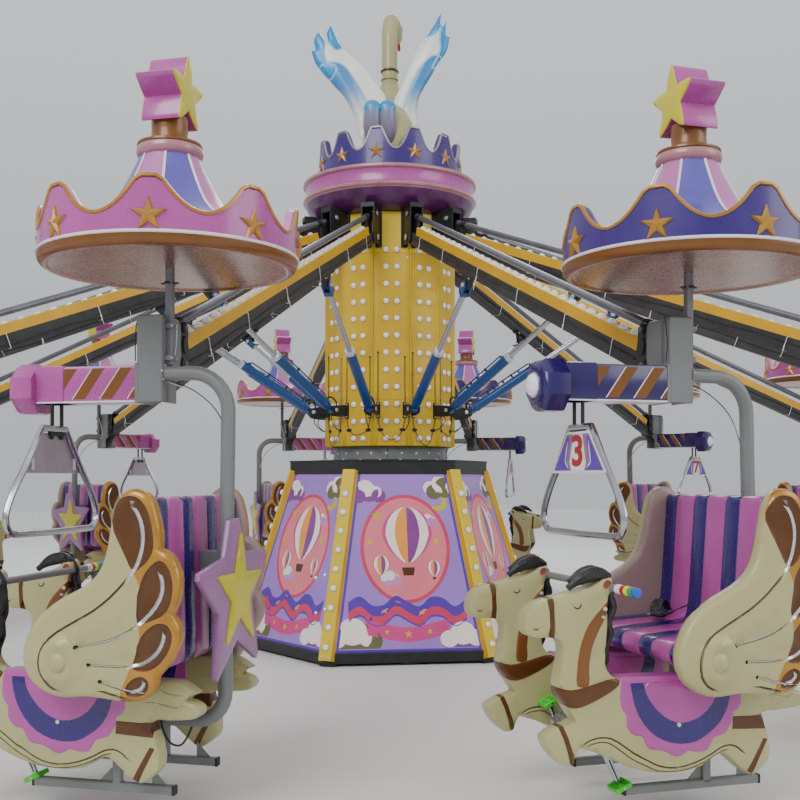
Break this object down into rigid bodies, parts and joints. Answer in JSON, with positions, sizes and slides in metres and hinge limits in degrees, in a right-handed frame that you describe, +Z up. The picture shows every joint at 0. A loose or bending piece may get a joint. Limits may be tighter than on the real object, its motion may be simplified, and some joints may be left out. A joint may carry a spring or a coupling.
{
  "type": "fairground swan ride",
  "caption": "Carousel of lifting arms around a tower with a swan on its crown; each arm swings a canopied two-seat carriage with rocking horses.",
  "frame": {"origin": "on the ground under the middle of the plinth", "axes": "+Z up along the axis that the tower turns about; one side of the six-sided plinth looks along -Y"},
  "size_m": [11.1738, 11.1738, 6.028],
  "materials": {
    "black_paint": "satin black paint",
    "lilac_panel": "glossy printed panel, lilac",
    "yellow_paint": "golden yellow gloss paint",
    "pale_steel": "pale grey-blue paint",
    "pink_gloss": "pink gloss gelcoat",
    "purple_gloss": "indigo purple gloss gelcoat",
    "cream_gloss": "cream gloss gelcoat",
    "wing_white": "pale cream gelcoat with blue tips",
    "blue_paint": "bright blue paint",
    "chrome": "polished piston rod"
  },
  "bodies": {
    "base": {"base_skirt": "black_paint", "base_housing": "lilac_panel", "base_corner_frame": "yellow_paint"},
    "rotor": {"turntable": "pale_steel", "tower_lower_cladding": "yellow_paint", "tower_upper_cladding": "yellow_paint", "arm_head_ring": "yellow_paint", "top_disc": "pink_gloss", "top_crown": "purple_gloss", "swan_body": "cream_gloss", "swan_wing_left": "wing_white", "swan_wing_right": "wing_white"},
    "arm_01": {"arm_01": "black_paint"},
    "barrel_01": {"barrel_01": "blue_paint"},
    "rod_01": {"rod_01": "chrome"},
    "carriage_01": {"carriage_01": "pink_gloss"},
    "arm_02": {"arm_02": "black_paint"},
    "barrel_02": {"barrel_02": "blue_paint"},
    "rod_02": {"rod_02": "chrome"},
    "carriage_02": {"carriage_02": "pink_gloss"},
    "arm_03": {"arm_03": "black_paint"},
    "barrel_03": {"barrel_03": "blue_paint"},
    "rod_03": {"rod_03": "chrome"},
    "carriage_03": {"carriage_03": "purple_gloss"},
    "arm_04": {"arm_04": "black_paint"},
    "barrel_04": {"barrel_04": "blue_paint"},
    "rod_04": {"rod_04": "chrome"},
    "carriage_04": {"carriage_04": "purple_gloss"},
    "arm_05": {"arm_05": "black_paint"},
    "barrel_05": {"barrel_05": "blue_paint"},
    "rod_05": {"rod_05": "chrome"},
    "carriage_05": {"carriage_05": "pink_gloss"},
    "arm_06": {"arm_06": "black_paint"},
    "barrel_06": {"barrel_06": "blue_paint"},
    "rod_06": {"rod_06": "chrome"},
    "carriage_06": {"carriage_06": "pink_gloss"},
    "arm_07": {"arm_07": "black_paint"},
    "barrel_07": {"barrel_07": "blue_paint"},
    "rod_07": {"rod_07": "chrome"},
    "carriage_07": {"carriage_07": "purple_gloss"},
    "arm_08": {"arm_08": "black_paint"},
    "barrel_08": {"barrel_08": "blue_paint"},
    "rod_08": {"rod_08": "chrome"},
    "carriage_08": {"carriage_08": "purple_gloss"},
    "arm_09": {"arm_09": "black_paint"},
    "barrel_09": {"barrel_09": "blue_paint"},
    "rod_09": {"rod_09": "chrome"},
    "carriage_09": {"carriage_09": "pink_gloss"},
    "arm_10": {"arm_10": "black_paint"},
    "barrel_10": {"barrel_10": "blue_paint"},
    "rod_10": {"rod_10": "chrome"},
    "carriage_10": {"carriage_10": "pink_gloss"},
    "arm_11": {"arm_11": "black_paint"},
    "barrel_11": {"barrel_11": "blue_paint"},
    "rod_11": {"rod_11": "chrome"},
    "carriage_11": {"carriage_11": "purple_gloss"},
    "arm_12": {"arm_12": "black_paint"},
    "barrel_12": {"barrel_12": "blue_paint"},
    "rod_12": {"rod_12": "chrome"},
    "carriage_12": {"carriage_12": "purple_gloss"}
  },
  "joints": [
    {"name": "rotor_spin", "type": "hinge", "parent": "base", "child": "rotor", "pos_m": [0, 0, 1.709], "axis": [0, 0, 1], "continuous": true},
    {"name": "arm_lift_01", "type": "hinge", "parent": "rotor", "child": "arm_01", "pos_m": [-0.56191, -0.45017, 3.65], "axis": [-0.6252, 0.7804, 0], "range_deg": [0, 30]},
    {"name": "barrel_tilt_01", "type": "hinge", "parent": "rotor", "child": "barrel_01", "pos_m": [-0.57752, -0.46268, 2.15], "axis": [-0.6252, 0.7804, 0], "range_deg": [0, 15]},
    {"name": "rod_slide_01", "type": "slide", "parent": "barrel_01", "child": "rod_01", "axis": [-0.6542, -0.5241, 0.5452], "range_m": [0, 0.605]},
    {"name": "hanger_level_01", "type": "hinge", "parent": "arm_01", "child": "carriage_01", "pos_m": [-3.69924, -2.96365, 2.12295], "axis": [-0.6252, 0.7804, 0], "range_deg": [-30, 0]},
    {"name": "arm_lift_02", "type": "hinge", "parent": "rotor", "child": "arm_02", "pos_m": [-0.26154, -0.67082, 3.65], "axis": [-0.9317, 0.3633, 0], "range_deg": [0, 30]},
    {"name": "barrel_tilt_02", "type": "hinge", "parent": "rotor", "child": "barrel_02", "pos_m": [-0.26881, -0.68945, 2.15], "axis": [-0.9317, 0.3633, 0], "range_deg": [0, 15]},
    {"name": "rod_slide_02", "type": "slide", "parent": "barrel_02", "child": "rod_02", "axis": [-0.3045, -0.781, 0.5452], "range_m": [0, 0.605]},
    {"name": "hanger_level_02", "type": "hinge", "parent": "arm_02", "child": "carriage_02", "pos_m": [-1.72181, -4.41622, 2.12295], "axis": [-0.9317, 0.3633, 0], "range_deg": [-30, 0]},
    {"name": "arm_lift_03", "type": "hinge", "parent": "rotor", "child": "arm_03", "pos_m": [0.10891, -0.71172, 3.65], "axis": [-0.9885, -0.1513, 0], "range_deg": [0, 30]},
    {"name": "barrel_tilt_03", "type": "hinge", "parent": "rotor", "child": "barrel_03", "pos_m": [0.11193, -0.73149, 2.15], "axis": [-0.9885, -0.1513, 0], "range_deg": [0, 15]},
    {"name": "rod_slide_03", "type": "slide", "parent": "barrel_03", "child": "rod_03", "axis": [0.1268, -0.8287, 0.5452], "range_m": [0, 0.605]},
    {"name": "hanger_level_03", "type": "hinge", "parent": "arm_03", "child": "carriage_03", "pos_m": [0.71698, -4.68546, 2.12295], "axis": [-0.9885, -0.1513, 0], "range_deg": [-30, 0]},
    {"name": "arm_lift_04", "type": "hinge", "parent": "rotor", "child": "arm_04", "pos_m": [0.45017, -0.56191, 3.65], "axis": [-0.7804, -0.6252, 0], "range_deg": [0, 30]},
    {"name": "barrel_tilt_04", "type": "hinge", "parent": "rotor", "child": "barrel_04", "pos_m": [0.46268, -0.57752, 2.15], "axis": [-0.7804, -0.6252, 0], "range_deg": [0, 15]},
    {"name": "rod_slide_04", "type": "slide", "parent": "barrel_04", "child": "rod_04", "axis": [0.5241, -0.6542, 0.5452], "range_m": [0, 0.605]},
    {"name": "hanger_level_04", "type": "hinge", "parent": "arm_04", "child": "carriage_04", "pos_m": [2.96365, -3.69924, 2.12295], "axis": [-0.7804, -0.6252, 0], "range_deg": [-30, 0]},
    {"name": "arm_lift_05", "type": "hinge", "parent": "rotor", "child": "arm_05", "pos_m": [0.67082, -0.26154, 3.65], "axis": [-0.3633, -0.9317, 0], "range_deg": [0, 30]},
    {"name": "barrel_tilt_05", "type": "hinge", "parent": "rotor", "child": "barrel_05", "pos_m": [0.68945, -0.26881, 2.15], "axis": [-0.3633, -0.9317, 0], "range_deg": [0, 15]},
    {"name": "rod_slide_05", "type": "slide", "parent": "barrel_05", "child": "rod_05", "axis": [0.781, -0.3045, 0.5452], "range_m": [0, 0.605]},
    {"name": "hanger_level_05", "type": "hinge", "parent": "arm_05", "child": "carriage_05", "pos_m": [4.41622, -1.72181, 2.12295], "axis": [-0.3633, -0.9317, 0], "range_deg": [-30, 0]},
    {"name": "arm_lift_06", "type": "hinge", "parent": "rotor", "child": "arm_06", "pos_m": [0.71172, 0.10891, 3.65], "axis": [0.1513, -0.9885, 0], "range_deg": [0, 30]},
    {"name": "barrel_tilt_06", "type": "hinge", "parent": "rotor", "child": "barrel_06", "pos_m": [0.73149, 0.11193, 2.15], "axis": [0.1513, -0.9885, 0], "range_deg": [0, 15]},
    {"name": "rod_slide_06", "type": "slide", "parent": "barrel_06", "child": "rod_06", "axis": [0.8287, 0.1268, 0.5452], "range_m": [0, 0.605]},
    {"name": "hanger_level_06", "type": "hinge", "parent": "arm_06", "child": "carriage_06", "pos_m": [4.68546, 0.71698, 2.12295], "axis": [0.1513, -0.9885, 0], "range_deg": [-30, 0]},
    {"name": "arm_lift_07", "type": "hinge", "parent": "rotor", "child": "arm_07", "pos_m": [0.56191, 0.45017, 3.65], "axis": [0.6252, -0.7804, 0], "range_deg": [0, 30]},
    {"name": "barrel_tilt_07", "type": "hinge", "parent": "rotor", "child": "barrel_07", "pos_m": [0.57752, 0.46268, 2.15], "axis": [0.6252, -0.7804, 0], "range_deg": [0, 15]},
    {"name": "rod_slide_07", "type": "slide", "parent": "barrel_07", "child": "rod_07", "axis": [0.6542, 0.5241, 0.5452], "range_m": [0, 0.605]},
    {"name": "hanger_level_07", "type": "hinge", "parent": "arm_07", "child": "carriage_07", "pos_m": [3.69924, 2.96365, 2.12295], "axis": [0.6252, -0.7804, 0], "range_deg": [-30, 0]},
    {"name": "arm_lift_08", "type": "hinge", "parent": "rotor", "child": "arm_08", "pos_m": [0.26154, 0.67082, 3.65], "axis": [0.9317, -0.3633, 0], "range_deg": [0, 30]},
    {"name": "barrel_tilt_08", "type": "hinge", "parent": "rotor", "child": "barrel_08", "pos_m": [0.26881, 0.68945, 2.15], "axis": [0.9317, -0.3633, 0], "range_deg": [0, 15]},
    {"name": "rod_slide_08", "type": "slide", "parent": "barrel_08", "child": "rod_08", "axis": [0.3045, 0.781, 0.5452], "range_m": [0, 0.605]},
    {"name": "hanger_level_08", "type": "hinge", "parent": "arm_08", "child": "carriage_08", "pos_m": [1.72181, 4.41622, 2.12295], "axis": [0.9317, -0.3633, 0], "range_deg": [-30, 0]},
    {"name": "arm_lift_09", "type": "hinge", "parent": "rotor", "child": "arm_09", "pos_m": [-0.10891, 0.71172, 3.65], "axis": [0.9885, 0.1513, 0], "range_deg": [0, 30]},
    {"name": "barrel_tilt_09", "type": "hinge", "parent": "rotor", "child": "barrel_09", "pos_m": [-0.11193, 0.73149, 2.15], "axis": [0.9885, 0.1513, 0], "range_deg": [0, 15]},
    {"name": "rod_slide_09", "type": "slide", "parent": "barrel_09", "child": "rod_09", "axis": [-0.1268, 0.8287, 0.5452], "range_m": [0, 0.605]},
    {"name": "hanger_level_09", "type": "hinge", "parent": "arm_09", "child": "carriage_09", "pos_m": [-0.71698, 4.68546, 2.12295], "axis": [0.9885, 0.1513, 0], "range_deg": [-30, 0]},
    {"name": "arm_lift_10", "type": "hinge", "parent": "rotor", "child": "arm_10", "pos_m": [-0.45017, 0.56191, 3.65], "axis": [0.7804, 0.6252, 0], "range_deg": [0, 30]},
    {"name": "barrel_tilt_10", "type": "hinge", "parent": "rotor", "child": "barrel_10", "pos_m": [-0.46268, 0.57752, 2.15], "axis": [0.7804, 0.6252, 0], "range_deg": [0, 15]},
    {"name": "rod_slide_10", "type": "slide", "parent": "barrel_10", "child": "rod_10", "axis": [-0.5241, 0.6542, 0.5452], "range_m": [0, 0.605]},
    {"name": "hanger_level_10", "type": "hinge", "parent": "arm_10", "child": "carriage_10", "pos_m": [-2.96365, 3.69924, 2.12295], "axis": [0.7804, 0.6252, 0], "range_deg": [-30, 0]},
    {"name": "arm_lift_11", "type": "hinge", "parent": "rotor", "child": "arm_11", "pos_m": [-0.67082, 0.26154, 3.65], "axis": [0.3633, 0.9317, 0], "range_deg": [0, 30]},
    {"name": "barrel_tilt_11", "type": "hinge", "parent": "rotor", "child": "barrel_11", "pos_m": [-0.68945, 0.26881, 2.15], "axis": [0.3633, 0.9317, 0], "range_deg": [0, 15]},
    {"name": "rod_slide_11", "type": "slide", "parent": "barrel_11", "child": "rod_11", "axis": [-0.781, 0.3045, 0.5452], "range_m": [0, 0.605]},
    {"name": "hanger_level_11", "type": "hinge", "parent": "arm_11", "child": "carriage_11", "pos_m": [-4.41622, 1.72181, 2.12295], "axis": [0.3633, 0.9317, 0], "range_deg": [-30, 0]},
    {"name": "arm_lift_12", "type": "hinge", "parent": "rotor", "child": "arm_12", "pos_m": [-0.71172, -0.10891, 3.65], "axis": [-0.1513, 0.9885, 0], "range_deg": [0, 30]},
    {"name": "barrel_tilt_12", "type": "hinge", "parent": "rotor", "child": "barrel_12", "pos_m": [-0.73149, -0.11193, 2.15], "axis": [-0.1513, 0.9885, 0], "range_deg": [0, 15]},
    {"name": "rod_slide_12", "type": "slide", "parent": "barrel_12", "child": "rod_12", "axis": [-0.8287, -0.1268, 0.5452], "range_m": [0, 0.605]},
    {"name": "hanger_level_12", "type": "hinge", "parent": "arm_12", "child": "carriage_12", "pos_m": [-4.68546, -0.71698, 2.12295], "axis": [-0.1513, 0.9885, 0], "range_deg": [-30, 0]}
  ],
  "couplings": [
    {"joint": "barrel_tilt_01", "follows": "arm_lift_01", "ratio": 0.49202},
    {"joint": "rod_slide_01", "follows": "arm_lift_01", "m_per_rad": 1.152},
    {"joint": "hanger_level_01", "follows": "arm_lift_01", "ratio": -1},
    {"joint": "barrel_tilt_02", "follows": "arm_lift_02", "ratio": 0.49202},
    {"joint": "rod_slide_02", "follows": "arm_lift_02", "m_per_rad": 1.152},
    {"joint": "hanger_level_02", "follows": "arm_lift_02", "ratio": -1},
    {"joint": "barrel_tilt_03", "follows": "arm_lift_03", "ratio": 0.49202},
    {"joint": "rod_slide_03", "follows": "arm_lift_03", "m_per_rad": 1.152},
    {"joint": "hanger_level_03", "follows": "arm_lift_03", "ratio": -1},
    {"joint": "barrel_tilt_04", "follows": "arm_lift_04", "ratio": 0.49202},
    {"joint": "rod_slide_04", "follows": "arm_lift_04", "m_per_rad": 1.152},
    {"joint": "hanger_level_04", "follows": "arm_lift_04", "ratio": -1},
    {"joint": "barrel_tilt_05", "follows": "arm_lift_05", "ratio": 0.49202},
    {"joint": "rod_slide_05", "follows": "arm_lift_05", "m_per_rad": 1.152},
    {"joint": "hanger_level_05", "follows": "arm_lift_05", "ratio": -1},
    {"joint": "barrel_tilt_06", "follows": "arm_lift_06", "ratio": 0.49202},
    {"joint": "rod_slide_06", "follows": "arm_lift_06", "m_per_rad": 1.152},
    {"joint": "hanger_level_06", "follows": "arm_lift_06", "ratio": -1},
    {"joint": "barrel_tilt_07", "follows": "arm_lift_07", "ratio": 0.49202},
    {"joint": "rod_slide_07", "follows": "arm_lift_07", "m_per_rad": 1.152},
    {"joint": "hanger_level_07", "follows": "arm_lift_07", "ratio": -1},
    {"joint": "barrel_tilt_08", "follows": "arm_lift_08", "ratio": 0.49202},
    {"joint": "rod_slide_08", "follows": "arm_lift_08", "m_per_rad": 1.152},
    {"joint": "hanger_level_08", "follows": "arm_lift_08", "ratio": -1},
    {"joint": "barrel_tilt_09", "follows": "arm_lift_09", "ratio": 0.49202},
    {"joint": "rod_slide_09", "follows": "arm_lift_09", "m_per_rad": 1.152},
    {"joint": "hanger_level_09", "follows": "arm_lift_09", "ratio": -1},
    {"joint": "barrel_tilt_10", "follows": "arm_lift_10", "ratio": 0.49202},
    {"joint": "rod_slide_10", "follows": "arm_lift_10", "m_per_rad": 1.152},
    {"joint": "hanger_level_10", "follows": "arm_lift_10", "ratio": -1},
    {"joint": "barrel_tilt_11", "follows": "arm_lift_11", "ratio": 0.49202},
    {"joint": "rod_slide_11", "follows": "arm_lift_11", "m_per_rad": 1.152},
    {"joint": "hanger_level_11", "follows": "arm_lift_11", "ratio": -1},
    {"joint": "barrel_tilt_12", "follows": "arm_lift_12", "ratio": 0.49202},
    {"joint": "rod_slide_12", "follows": "arm_lift_12", "m_per_rad": 1.152},
    {"joint": "hanger_level_12", "follows": "arm_lift_12", "ratio": -1}
  ]
}
